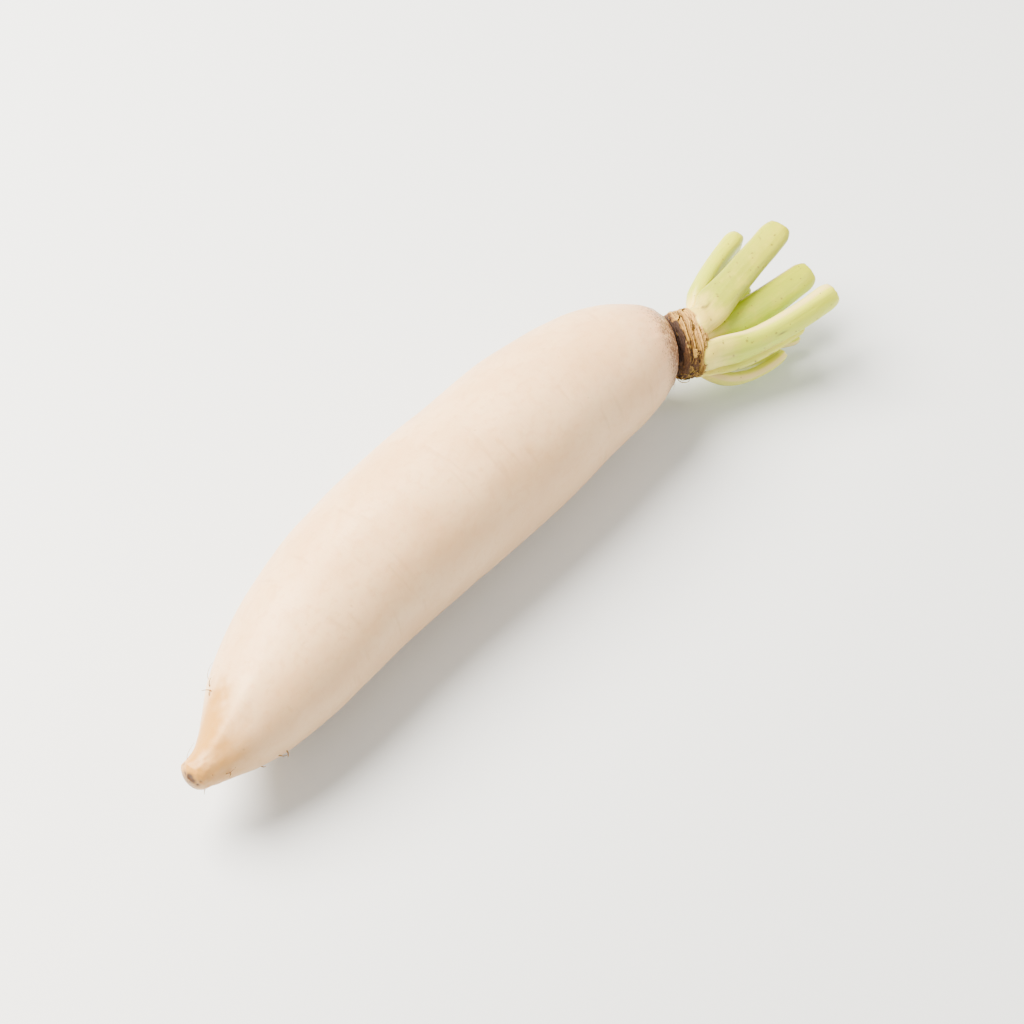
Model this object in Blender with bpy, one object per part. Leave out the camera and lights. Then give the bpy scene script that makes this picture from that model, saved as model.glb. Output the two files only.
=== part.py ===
"""A long white radish lying on its belly, its leaf stalks cut short.

Metres, +Z up. The radish lies along +X, root tip towards -X and crown towards
+X, and its body bows sideways towards +Y. The origin is on the floor, at the
middle of the whole object's footprint. Every solid is closed, and touching
solids keep a gap of 0.3 mm.
"""
import math

import bmesh
import bpy
from mathutils import Matrix, Vector

MM = 0.001
GAP = 0.3

# The root, in millimetres: distance along it, sideways place of its middle,
# height of its middle, radius, and how far the cross-section turns towards -Y
# in degrees. The tip is blunt, the body fullest at 160, and the shoulder turns
# over to the neck that the crown sits on.
ROOT_STATIONS = (
    (9.4, 0.5, -1.9, 5.4, 0),
    (12.0, 0.3, -1.9, 5.9, -1),
    (16.0, 0.0, -1.8, 7.0, -2),
    (20.0, 0.3, -1.7, 8.8, -3),
    (28.0, 1.5, -1.6, 12.9, -6),
    (40.0, 4.2, -1.4, 18.2, -10),
    (55.0, 7.6, -1.2, 22.2, -12),
    (75.0, 12.0, -0.9, 25.2, -10),
    (100.0, 15.8, -0.5, 27.6, -6),
    (130.0, 17.2, -0.1, 28.8, -1),
    (160.0, 17.1, 0.3, 29.2, 0),
    (185.0, 16.9, 0.6, 28.8, 1),
    (205.0, 16.5, 0.6, 27.0, 3),
    (220.0, 15.2, 0.3, 25.0, 7),
    (232.0, 12.9, -0.2, 22.5, 12),
    (241.0, 10.4, -0.8, 19.0, 18),
    (246.6, 8.4, -1.2, 15.8, 23),
    (249.6, 6.8, -1.4, 12.9, 26),
    (250.5, 6.3, -1.5, 11.3, 27),
)
ROOT_TIP_X = 6.8
ROOT_DROOP = 8
ROOT_SIDES = 48
ROOT_RINGS = 44
FLAT_DEPTH = 0.9
NECK_RADIUS = 10.5
NECK_STEP = 0.5

# The crown: a short tan collar on the neck, standing along its own axis,
# which turns towards -Y and droops a little.
CROWN_TURN = 27
CROWN_DROOP = 8
COLLAR_HEIGHT = 11.5
COLLAR_SIDES = 40
COLLAR_PROFILE = (
    (0.0, 10.5),
    (0.9, 11.4),
    (2.2, 12.3),
    (3.2, 11.7),
    (4.6, 12.5),
    (5.8, 11.8),
    (7.2, 12.6),
    (8.4, 12.1),
    (9.7, 12.7),
    (10.8, 12.5),
    (11.5, 11.8),
)

# The leaf stalks. Each stands on the collar's top in its own sector: from and
# to angles about the crown axis (0 is up, 90 towards +Y), and from and to
# radii. Then where its cut end lies from the collar's top: up the axis,
# towards +Y, and up. Then its width at the foot, halfway and at the cut, its
# thickness near the foot and at the cut, how strongly it first follows the
# crown axis, and how far it bellies outwards.
STALKS = (
    ("leaf_stalk_1", (-33, 56, 7.0, 12.2), (41.3, 29.3, 18.9), (18.6, 12.7, 11.6), (5.9, 7.1), -0.07, -2),
    ("leaf_stalk_2", (-112, -36, 7.0, 12.2), (50.6, -0.5, 13.3), (16.4, 10.3, 10.3), (5.3, 9.0), 0.96, 1.3),
    ("leaf_stalk_3", (-160, -127, 7.0, 12.2), (32.6, -6.0, -8.1), (8.0, 8.2, 8.4), (6.8, 5.4), 0.96, 11.7),
    ("leaf_stalk_4", (163, 197, 4.0, 12.2), (42.6, 3.5, -11.3), (9.0, 8.4, 8.8), (6.4, 6.0), 0.8, 0),
    ("leaf_stalk_5", (111, 160, 4.0, 12.2), (32.0, 30.0, -2.6), (11.0, 9.6, 9.2), (6.6, 6.0), 0.4, 0),
    ("leaf_stalk_6", (59, 108, 7.0, 12.2), (29.5, 37.0, 8.2), (12.0, 13.4, 9.6), (8.6, 8.4), -0.25, 0),
    ("leaf_stalk_7", (-126, -113.6, 5.0, 12.0), (39.9, -3.1, 0.5), (2.9, 3.5, 4.2), (9.1, 4.6), 0.48, 4.5),
    ("leaf_stalk_8", (-80, 14, 0.8, 6.6), (48.5, 14.6, 8.9), (8.6, 12.2, 10.6), (6.6, 6.0), 0.4, 0),
    ("leaf_stalk_9", (20, 93, 1.6, 6.6), (26.0, 16.8, 2.6), (5.6, 6.6, 5.6), (5.0, 4.6), 0.2, 0),
)
STALK_SIDES = 20
STALK_RINGS = 14
STALK_GROOVE = 1.0
STALK_ROUNDING = 0.7

SKIN_WHITE = (0.82, 0.74, 0.65, 1.0)
CROWN_TAN = (0.62, 0.45, 0.26, 1.0)
STALK_GREEN = (0.62, 0.62, 0.25, 1.0)


def clear_scene():
    """Remove whatever the new scene starts with."""
    for item in list(bpy.data.objects):
        bpy.data.objects.remove(item, do_unlink=True)


def plain_material(name, colour, roughness):
    """A Principled material of one colour."""
    material = bpy.data.materials.new(name)
    material.use_nodes = True
    shader = material.node_tree.nodes["Principled BSDF"]
    shader.inputs["Base Color"].default_value = colour
    shader.inputs["Roughness"].default_value = roughness
    shader.inputs["Metallic"].default_value = 0.0
    material.diffuse_color = colour
    return material


def slopes(places, values):
    """Slopes of a smooth curve through the points that never overshoots."""
    steps = [b - a for a, b in zip(places, places[1:])]
    rises = [(b - a) / s for a, b, s in zip(values, values[1:], steps)]
    result = [rises[0]]
    for i in range(1, len(rises)):
        if rises[i - 1] * rises[i] <= 0:
            result.append(0.0)
            continue
        left = 2 * steps[i] + steps[i - 1]
        right = steps[i] + 2 * steps[i - 1]
        result.append((left + right) / (left / rises[i - 1] + right / rises[i]))
    result.append(rises[-1])
    return result


def through(places, values, place):
    """Value at a place on the smooth curve through the points."""
    tangents = slopes(places, values)
    i = 0
    while i < len(places) - 2 and place > places[i + 1]:
        i += 1
    step = places[i + 1] - places[i]
    t = min(max((place - places[i]) / step, 0.0), 1.0)
    start = (1 + 2 * t) * (1 - t) ** 2 * values[i] + t * (1 - t) ** 2 * step * tangents[i]
    end = t * t * (3 - 2 * t) * values[i + 1] - t * t * (1 - t) * step * tangents[i + 1]
    return start + end


def direction(turn, droop):
    """Unit vector along +X turned towards -Y and tipped down, in degrees."""
    a, b = math.radians(turn), math.radians(droop)
    return Vector((math.cos(b) * math.cos(a), -math.cos(b) * math.sin(a), -math.sin(b)))


def across(axis):
    """The sideways (+Y) and upward directions of a cross-section."""
    side = Vector((0, 0, 1)).cross(axis).normalized()
    return side, axis.cross(side).normalized()


def loft(rings, start=None, end=None):
    """Closed bmesh through rings of points, with a pole or a flat at each end."""
    mesh = bmesh.new()
    loops = [[mesh.verts.new(point) for point in ring] for ring in rings]
    for low, high in zip(loops, loops[1:]):
        for i in range(len(low)):
            j = (i + 1) % len(low)
            mesh.faces.new((low[i], low[j], high[j], high[i]))
    for loop, pole in ((loops[0], start), (loops[-1], end)):
        if pole is None:
            mesh.faces.new(loop)
            continue
        point = mesh.verts.new(pole)
        for i in range(len(loop)):
            mesh.faces.new((loop[i], loop[(i + 1) % len(loop)], point))
    bmesh.ops.recalc_face_normals(mesh, faces=mesh.faces)
    return mesh


def finish(name, mesh, material, sharp=50):
    """Turn a bmesh in millimetres into a smooth-shaded object in metres."""
    bmesh.ops.scale(mesh, vec=(MM, MM, MM), verts=mesh.verts)
    data = bpy.data.meshes.new(name)
    mesh.to_mesh(data)
    mesh.free()
    data.materials.append(material)
    data.shade_smooth()
    data.set_sharp_from_angle(angle=math.radians(sharp))
    item = bpy.data.objects.new(name, data)
    bpy.context.scene.collection.objects.link(item)
    return item


def root_place(x):
    """Middle, radius and facing of the root's cross-section at a distance."""
    columns = list(zip(*ROOT_STATIONS))
    y, z, radius, turn = (through(columns[0], column, x) for column in columns[1:])
    droop = ROOT_DROOP * min(max((x - 205) / 40, 0), 1)
    return Vector((x, y, z)), radius, direction(turn, droop)


def root_distances():
    """Where the cross-sections are cut, closer together at the tip and shoulder."""
    first, last = ROOT_STATIONS[0][0], ROOT_STATIONS[-1][0]
    result = []
    for i in range(ROOT_RINGS):
        t = i / (ROOT_RINGS - 1)
        eased = 0.5 - 0.5 * math.cos(math.pi * t)
        result.append(first + (last - first) * (0.45 * t + 0.55 * eased))
    return result


def root_ripple(x, angle):
    """A grown root is never quite round: slow swellings along and round it."""
    slow = 0.006 * math.sin(2 * angle + 0.02 * x + 0.6)
    quick = 0.003 * math.sin(3 * angle - 0.035 * x + 2.0)
    ring = 0.003 * math.sin(0.11 * x + 0.8 * math.sin(angle))
    return 1 + slow + quick + ring


def ring_of(middle, axis, radius_at, sides):
    """Points round a middle, square to an axis, with a radius for each angle."""
    side, up = across(axis)
    points = []
    for i in range(sides):
        angle = 2 * math.pi * i / sides
        out = side * math.cos(angle) + up * math.sin(angle)
        points.append(middle + out * radius_at(angle))
    return points


def make_root():
    """The tapering body, cut flat under its belly where it rests."""
    rings = []
    first_middle, first_radius, first_axis = root_place(ROOT_STATIONS[0][0])
    for along, share in ((ROOT_TIP_X + 0.4, 0.42), (ROOT_TIP_X + 1.4, 0.78)):
        middle = Vector((along, first_middle.y, first_middle.z))
        rings.append(ring_of(middle, first_axis, lambda a: first_radius * share, ROOT_SIDES))
    for x in root_distances():
        middle, radius, axis = root_place(x)
        fade = min((x + 1) / 20, (246 - x) / 20, 1)
        rings.append(ring_of(
            middle, axis, lambda a: radius * (1 + fade * (root_ripple(x, a) - 1)), ROOT_SIDES))
    middle, radius, axis = root_place(ROOT_STATIONS[-1][0])
    rings.append(ring_of(middle + axis * NECK_STEP, axis, lambda a: NECK_RADIUS, ROOT_SIDES))
    pole = Vector((ROOT_TIP_X, first_middle.y, first_middle.z))
    mesh = loft(rings, start=pole)
    floor = min(v.co.z for v in mesh.verts) + FLAT_DEPTH
    geometry = mesh.verts[:] + mesh.edges[:] + mesh.faces[:]
    cut = bmesh.ops.bisect_plane(
        mesh, geom=geometry, dist=1e-5, plane_co=(0, 0, floor), plane_no=(0, 0, -1), clear_outer=True)
    edges = [e for e in cut["geom_cut"] if isinstance(e, bmesh.types.BMEdge)]
    bmesh.ops.contextual_create(mesh, geom=edges)
    bmesh.ops.recalc_face_normals(mesh, faces=mesh.faces)
    return finish("root", mesh, plain_material("skin", SKIN_WHITE, 0.4))


def crown_seat():
    """The flat of the neck that the collar stands on, and the crown axis."""
    middle, radius, axis = root_place(ROOT_STATIONS[-1][0])
    return middle + axis * (NECK_STEP + GAP), direction(CROWN_TURN, CROWN_DROOP)


def make_collar():
    """The tan stub of old leaf bases between the root and the stalks."""
    seat, axis = crown_seat()
    rings = []
    for height, radius in COLLAR_PROFILE:
        lobes = 0.25 * math.sin(math.pi * height / COLLAR_HEIGHT)

        def radius_at(angle, radius=radius, height=height, lobes=lobes):
            return radius + lobes * math.sin(5 * angle + 0.7 * height)

        rings.append(ring_of(seat + axis * height, axis, radius_at, COLLAR_SIDES))
    return finish("crown_collar", loft(rings), plain_material("collar", CROWN_TAN, 0.75))


def power(value, exponent):
    """Signed power, which squares off a circle's corners."""
    return math.copysign(abs(value) ** exponent, value)


def base_outline(sector):
    """Outline of a stalk's foot about its own middle: sideways and outward."""
    low, high, inner, outer = sector
    spare = math.degrees(GAP / (inner + outer))
    half_angle = math.radians(high - low - 2 * spare) / 2
    middle_radius, half_depth = (inner + outer) / 2, (outer - inner) / 2
    points = []
    for i in range(STALK_SIDES):
        a = 2 * math.pi * i / STALK_SIDES
        around = half_angle * power(math.sin(a), 0.7)
        reach = middle_radius + half_depth * power(math.cos(a), 0.7)
        points.append((reach * math.sin(around), reach * math.cos(around) - middle_radius))
    return points


def free_outline(width, thickness):
    """Outline of a stalk away from its foot: round outside, grooved inside."""
    points = []
    for i in range(STALK_SIDES):
        a = 2 * math.pi * i / STALK_SIDES
        sideways = width / 2 * power(math.sin(a), 0.9)
        outward = thickness / 2 * math.cos(a)
        if math.cos(a) < 0:
            outward += STALK_GROOVE * math.cos(a) ** 4
        points.append((sideways, outward))
    return points


def stalk_path(foot, end, axis, follow, belly):
    """Points and directions along a stalk, from its foot to its cut end."""
    span = (end - foot).length
    straight = (end - foot).normalized()
    leaving = straight.lerp(axis, follow).normalized()
    bend = foot + leaving * span * 0.4 + belly
    result = []
    for i in range(STALK_RINGS):
        t = i / (STALK_RINGS - 1)
        point = foot * (1 - t) ** 2 + bend * 2 * t * (1 - t) + end * t * t
        heading = ((bend - foot) * (1 - t) + (end - bend) * t).normalized()
        result.append((t, point, heading))
    return result


def make_stalk(name, sector, reach, widths, thickness, follow, belly, material):
    """One cut leaf stalk: a wide foot on the collar, narrowing to a cut end."""
    seat, axis = crown_seat()
    top = seat + axis * (COLLAR_HEIGHT + GAP)
    side, up = across(axis)
    angle = math.radians((sector[0] + sector[1]) / 2)
    outward = up * math.cos(angle) + side * math.sin(angle)
    foot = top + outward * (sector[2] + sector[3]) / 2
    end = top + axis * reach[0] + side * reach[1] + up * reach[2]
    base = base_outline(sector)
    rings = []
    for t, point, heading in stalk_path(foot, end, axis, follow, outward * belly):
        turn = min(t / 0.3, 1)
        turn = turn * turn * (3 - 2 * turn)
        facing = axis.lerp(heading, turn).normalized()
        out = (outward - facing * outward.dot(facing)).normalized()
        sideways = out.cross(facing)
        width = through((0.0, 0.5, 1.0), widths, t)
        free = free_outline(width, through((0.0, 1.0), thickness, t))
        blend = min(t / 0.35, 1)
        blend = blend * blend * (3 - 2 * blend)
        ring = []
        for (u0, v0), (u1, v1) in zip(base, free):
            u, v = u0 + (u1 - u0) * blend, v0 + (v1 - v0) * blend
            ring.append(point + sideways * u + out * v)
        rings.append(ring)
    for inward, onward in ((0.35, 0.6), (1.0, 0.25)):
        last = rings[-1]
        middle = sum(last, Vector()) / len(last)
        shift = facing * STALK_ROUNDING * onward
        rings.append([
            p + (middle - p).normalized() * STALK_ROUNDING * inward + shift for p in last])
    return finish(name, loft(rings), material)


def stand_on_origin(items):
    """Move everything so the footprint's middle on the floor is the origin."""
    corners = [v.co for item in items for v in item.data.vertices]
    low = Vector([min(c[i] for c in corners) for i in range(3)])
    high = Vector([max(c[i] for c in corners) for i in range(3)])
    shift = Vector(((low.x + high.x) / 2, (low.y + high.y) / 2, low.z))
    for item in items:
        item.data.transform(Matrix.Translation(-shift))
    return shift


def build():
    """Make every solid of the radish."""
    clear_scene()
    items = [make_root(), make_collar()]
    for row in STALKS:
        items.append(make_stalk(*row, plain_material("stalk", STALK_GREEN, 0.45)))
    stand_on_origin(items)


build()
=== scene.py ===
import math

import bpy
import numpy as np
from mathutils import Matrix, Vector


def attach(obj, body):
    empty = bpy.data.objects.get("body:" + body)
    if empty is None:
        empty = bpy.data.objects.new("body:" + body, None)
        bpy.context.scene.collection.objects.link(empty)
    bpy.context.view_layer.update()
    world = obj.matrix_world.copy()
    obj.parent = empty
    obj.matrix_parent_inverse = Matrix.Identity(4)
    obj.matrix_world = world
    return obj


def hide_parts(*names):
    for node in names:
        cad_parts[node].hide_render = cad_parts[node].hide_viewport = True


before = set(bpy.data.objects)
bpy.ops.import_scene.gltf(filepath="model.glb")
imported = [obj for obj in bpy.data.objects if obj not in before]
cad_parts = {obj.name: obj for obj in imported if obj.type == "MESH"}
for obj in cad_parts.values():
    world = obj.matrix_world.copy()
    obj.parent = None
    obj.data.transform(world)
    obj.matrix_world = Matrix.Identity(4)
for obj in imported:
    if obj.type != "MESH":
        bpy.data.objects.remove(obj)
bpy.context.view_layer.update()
MM = 0.001

# ---------------------------------------------------------------------------------------------
# The root: one swollen, slightly bowed body of crisp white flesh under a thin cream skin. It
# grew in soil, so it is never quite round, it carries faint cross creases and pores, and it
# rests on the flat that its own weight presses into its belly.
# ---------------------------------------------------------------------------------------------
ROOT_START = np.array((-160.79, -9.09, 28.10))  # where the root's own measure starts
ROOT_STATIONS = (  # along, sideways, up, radius, turn of the section
    (9.4, 0.5, -1.9, 5.4, 0),
    (12.0, 0.3, -1.9, 5.9, -1),
    (16.0, 0.0, -1.8, 7.0, -2),
    (20.0, 0.3, -1.7, 8.8, -3),
    (28.0, 1.5, -1.6, 12.9, -6),
    (40.0, 4.2, -1.4, 18.2, -10),
    (55.0, 7.6, -1.2, 22.2, -12),
    (75.0, 12.0, -0.9, 25.2, -10),
    (100.0, 15.8, -0.5, 27.6, -6),
    (130.0, 17.2, -0.1, 28.8, -1),
    (160.0, 17.1, 0.3, 29.2, 0),
    (185.0, 16.9, 0.6, 28.8, 1),
    (205.0, 16.5, 0.6, 27.0, 3),
    (220.0, 15.2, 0.3, 25.0, 7),
    (232.0, 12.9, -0.2, 22.5, 12),
    (241.0, 10.4, -0.8, 19.0, 18),
    (246.6, 8.4, -1.2, 15.8, 23),
    (249.6, 6.8, -1.4, 12.9, 26),
    (250.5, 6.3, -1.5, 11.3, 27),
)
ROOT_FIRST, ROOT_LAST = ROOT_STATIONS[0][0], ROOT_STATIONS[-1][0]
ROOT_DROOP, DROOP_START, DROOP_LENGTH = 8, 205, 40  # degrees at the neck, and where it sets in
ROOT_TIP = 6.8
KNOB = ((6.8, 0.0), (7.2, 0.42), (8.2, 0.78), (9.4, 1.0))  # along, share of the first radius
NECK = ((0.0, 11.3), (0.5, 10.1), (1.0, 9.2), (1.8, 8.4))  # past the last station, radius
EVEN_START, EVEN_END, EVEN_FADE = -1, 246, 20  # the section gets round towards both ends
KNOB_RINGS, ROOT_RINGS, NECK_RINGS, ROOT_SIDES = 16, 350, 10, 256
CREASES, PITS = 90, 130
DARK_PIT = 0.09  # pits deeper than this hold soil


def unit(vectors):
    """Vectors scaled to length one."""
    vectors = np.asarray(vectors, float)
    return vectors / np.linalg.norm(vectors, axis=-1, keepdims=True)


def ease(value, start, end):
    """Smooth step from 0 at start to 1 at end."""
    t = np.clip((np.asarray(value, float) - start) / (end - start), 0, 1)
    return t * t * (3 - 2 * t)


def through(places, values, at):
    """Smooth curve through the points that never overshoots, at any number of places."""
    places, values, at = (np.asarray(item, float) for item in (places, values, at))
    steps = np.diff(places)
    rises = np.diff(values) / steps
    before, after = rises[:-1], rises[1:]
    turning = before * after <= 0
    left, right = 2 * steps[1:] + steps[:-1], steps[1:] + 2 * steps[:-1]
    safe = [np.where(turning, 1, rise) for rise in (before, after)]
    inner = np.where(turning, 0, (left + right) / (left / safe[0] + right / safe[1]))
    slopes = np.concatenate((rises[:1], inner, rises[-1:]))
    i = np.clip(np.searchsorted(places, at) - 1, 0, len(steps) - 1)
    t = np.clip((at - places[i]) / steps[i], 0, 1)
    start = (1 + 2 * t) * (1 - t) ** 2 * values[i] + t * (1 - t) ** 2 * steps[i] * slopes[i]
    end = t * t * (3 - 2 * t) * values[i + 1] - t * t * (1 - t) * steps[i] * slopes[i + 1]
    return start + end


def lumps(points, size, seed):
    """Smooth random swelling from -1 to 1, in lumps of the given size."""
    cells = 32
    table = np.random.RandomState(seed).uniform(-1, 1, (cells, cells, cells))
    scaled = points / np.asarray(size, float) + 100
    base = np.floor(scaled).astype(int)
    part = scaled - base
    part = part * part * (3 - 2 * part)
    total = np.zeros(points.shape[:-1])
    for corner in np.ndindex(2, 2, 2):
        weight = np.ones(points.shape[:-1])
        for way in range(3):
            weight = weight * (part[..., way] if corner[way] else 1 - part[..., way])
        index = tuple((base[..., way] + corner[way]) % cells for way in range(3))
        total += weight * table[index]
    return total


def apart(angle, other):
    """Signed angle from other to angle, the short way round."""
    return np.angle(np.exp(1j * (angle - other)))


def heading(turn, droop):
    """Directions along the root, turned towards -Y and tipped down, in degrees."""
    a, b = np.radians(turn), np.radians(droop)
    return np.stack((np.cos(b) * np.cos(a), -np.cos(b) * np.sin(a), -np.sin(b)), -1)


def across(axis):
    """The sideways and upward directions of a cross-section."""
    side = unit(np.cross((0, 0, 1), axis))
    return side, np.cross(axis, side)


def root_skin_at(along, angle, lift=0.0):
    """Points of the root's skin, raised by lift, and the way out of it."""
    along, angle = np.broadcast_arrays(np.asarray(along, float), np.asarray(angle, float))
    at = np.clip(along, ROOT_FIRST, ROOT_LAST)
    columns = list(zip(*ROOT_STATIONS))
    y, z, radius, turn = (through(columns[0], column, at) for column in columns[1:])
    knob, neck = list(zip(*KNOB)), list(zip(*NECK))
    radius = np.where(along < ROOT_FIRST, radius * through(*knob, along), radius)
    radius = np.where(along > ROOT_LAST, through(*neck, along - ROOT_LAST), radius)
    axis = heading(turn, ROOT_DROOP * np.clip((at - DROOP_START) / DROOP_LENGTH, 0, 1))
    middle = np.stack((np.minimum(along, ROOT_LAST), y, z), -1)
    middle = middle + axis * np.maximum(along - ROOT_LAST, 0)[..., None]
    oval = 0.006 * np.sin(2 * angle + 0.02 * at + 0.6)
    three_sided = 0.003 * np.sin(3 * angle - 0.035 * at + 2.0)
    banded = 0.003 * np.sin(0.11 * at + 0.8 * np.sin(angle))
    fade = np.minimum((along - EVEN_START) / EVEN_FADE, (EVEN_END - along) / EVEN_FADE)
    side, up = across(axis)
    out = side * np.cos(angle)[..., None] + up * np.sin(angle)[..., None]
    reach = radius * (1 + np.minimum(fade, 1) * (oval + three_sided + banded)) + lift
    return ROOT_START + middle + out * reach[..., None], out


def root_distances():
    """Where the root's rings lie, closer together at the knob and the shoulder."""
    t = np.linspace(0, 1, ROOT_RINGS)
    body = ROOT_FIRST + (ROOT_LAST - ROOT_FIRST) * (
        0.5 * t + 0.5 * (0.5 - 0.5 * np.cos(np.pi * t)))
    knob = through(range(len(KNOB)), [row[0] for row in KNOB], np.linspace(0.06, 2.9, KNOB_RINGS))
    neck = np.linspace(ROOT_LAST + 0.1, ROOT_LAST + NECK[-1][0], NECK_RINGS)
    return np.concatenate((knob, body, neck))


def root_relief(along, angle, grown):
    """How far growth in the soil raised or dented the skin, with its creases and pits."""
    chance = np.random.RandomState(7)
    lift = 0.34 * lumps(grown, 24, 1) + 0.16 * lumps(grown, 9, 2) + 0.035 * lumps(grown, 2.6, 3)
    crease, pit = np.zeros_like(lift), np.zeros_like(lift)
    for _ in range(CREASES):
        place, where = chance.uniform(22, 246), chance.uniform(0, 2 * math.pi)
        reach, width = chance.uniform(0.08, 0.3), chance.uniform(0.5, 1.0)
        depth, slant = chance.uniform(0.04, 0.13), chance.uniform(-4, 4)
        off = apart(angle, where)
        groove = np.exp(-((along - place - slant * off) / width) ** 2 - (off / reach) ** 2)
        lift -= depth * groove
        crease += groove
    for _ in range(PITS):
        place, where = chance.uniform(14, 249), chance.uniform(0, 2 * math.pi)
        size, depth = chance.uniform(0.28, 0.6), chance.uniform(0.03, 0.13)
        off = apart(angle, where) * np.linalg.norm(grown[..., 1:], axis=-1)
        dent = np.exp(-((along - place) ** 2 + off ** 2) / size ** 2)
        lift -= depth * dent
        pit += dent * (depth > DARK_PIT)
    return lift, np.minimum(crease, 1), np.minimum(pit, 1)


def grown_mesh(name, rings, marks, start, end):
    """Smooth mesh through rings of points, closed at a start and an end point, with the marks
    that its material reads."""
    count, sides = rings.shape[:2]
    index = np.arange(count * sides).reshape(count, sides)
    low, high = index[:-1], index[1:]
    faces = np.stack((low, np.roll(low, -1, 1), np.roll(high, -1, 1), high), -1)
    faces = faces.reshape(-1, 4).tolist()
    points, values = rings.reshape(-1, 3), {}
    for key, value in marks.items():
        each = np.shape(value)[2:]
        values[key] = np.broadcast_to(value, (count, sides) + each).reshape((-1,) + each)
    for pole, ring, way in ((start, index[0], 1), (end, index[-1], -1)):
        number, beside = len(points), np.roll(ring, -way)
        points = np.vstack((points, pole))
        faces += [(number, int(b), int(a)) for a, b in zip(ring, beside)]
        values = {key: np.concatenate((value, value[ring[:1]])) for key, value in values.items()}
    mesh = bpy.data.meshes.new(name)
    mesh.from_pydata((points * MM).tolist(), [], faces)
    for key, value in values.items():
        kind, field = ("FLOAT_VECTOR", "vector") if value.ndim > 1 else ("FLOAT", "value")
        layer = mesh.attributes.new(key, kind, "POINT")
        layer.data.foreach_set(field, np.ascontiguousarray(value, np.float32).ravel())
    mesh.shade_smooth()
    item = bpy.data.objects.new(name, mesh)
    bpy.context.scene.collection.objects.link(item)
    return item


def add(tree, kind, wires=(), **settings):
    """Add a shader node with its settings, values and incoming wires."""
    item = tree.nodes.new(kind)
    for key, value in settings.items():
        setattr(item, key, value)
    for slot, value in dict(wires).items():
        if isinstance(value, bpy.types.NodeSocket):
            tree.links.new(value, item.inputs[slot])
        else:
            item.inputs[slot].default_value = value
    return item


def mark(tree, name):
    """The value that a mesh carries under this name."""
    return add(tree, "ShaderNodeAttribute", attribute_name=name).outputs["Fac"]


def grown_place(tree):
    """Where a point lies in the grown shape's own straightened measure."""
    return add(tree, "ShaderNodeAttribute", attribute_name="grown").outputs["Vector"]


def grain(tree, size, detail=3.0, seed=0.0):
    """Noise with a size along, sideways and outward in the straightened measure."""
    stretched = add(tree, "ShaderNodeMapping", {
        "Vector": grown_place(tree), "Scale": tuple(1 / s for s in size),
        "Location": (seed, 2 * seed, -seed)})
    return add(tree, "ShaderNodeTexNoise", {"Vector": stretched.outputs[0], "Scale": 1.0,
                                           "Detail": detail, "Roughness": 0.55}).outputs[0]


def between(tree, value, low, high, top=1.0):
    """0 below low, top above high, smooth between."""
    return add(tree, "ShaderNodeMapRange", {"Value": value, "From Min": low, "From Max": high,
                                           "To Min": 0.0, "To Max": top},
               interpolation_type="SMOOTHSTEP").outputs[0]


def calc(tree, action, first, second):
    """Arithmetic on two values."""
    return add(tree, "ShaderNodeMath", {0: first, 1: second}, operation=action).outputs[0]


def tint(tree, amount, under, over):
    """One colour laid over another by an amount."""
    return add(tree, "ShaderNodeMix", {0: amount, 6: under, 7: over}, data_type="RGBA",
               clamp_factor=True).outputs[2]


def coats(tree, colour, layers):
    """Colours laid over one another in turn, each given as an amount and a colour."""
    for amount, over in layers:
        colour = tint(tree, amount, colour, (*over, 1))
    return colour


def new_material(name, roughness, deep=0.0, radius=(0.001, 0.001, 0.001)):
    """A material with its node tree and shader, and how much and how far light sinks in."""
    material = bpy.data.materials.new(name)
    material.use_nodes = True
    shader = material.node_tree.nodes["Principled BSDF"]
    shader.inputs["Roughness"].default_value = roughness
    shader.inputs["Subsurface Weight"].default_value = deep
    shader.inputs["Subsurface Radius"].default_value = radius
    shader.inputs["Subsurface Scale"].default_value = 1.0
    shader.inputs["IOR"].default_value = 1.4
    return material, material.node_tree, shader


def emboss(tree, shader, height, distance, strength=1.0):
    """Raise a fine relief that is too small for the mesh."""
    bump = add(tree, "ShaderNodeBump", {"Height": height, "Distance": distance * MM,
                                       "Strength": strength})
    tree.links.new(bump.outputs[0], shader.inputs["Normal"])


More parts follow.
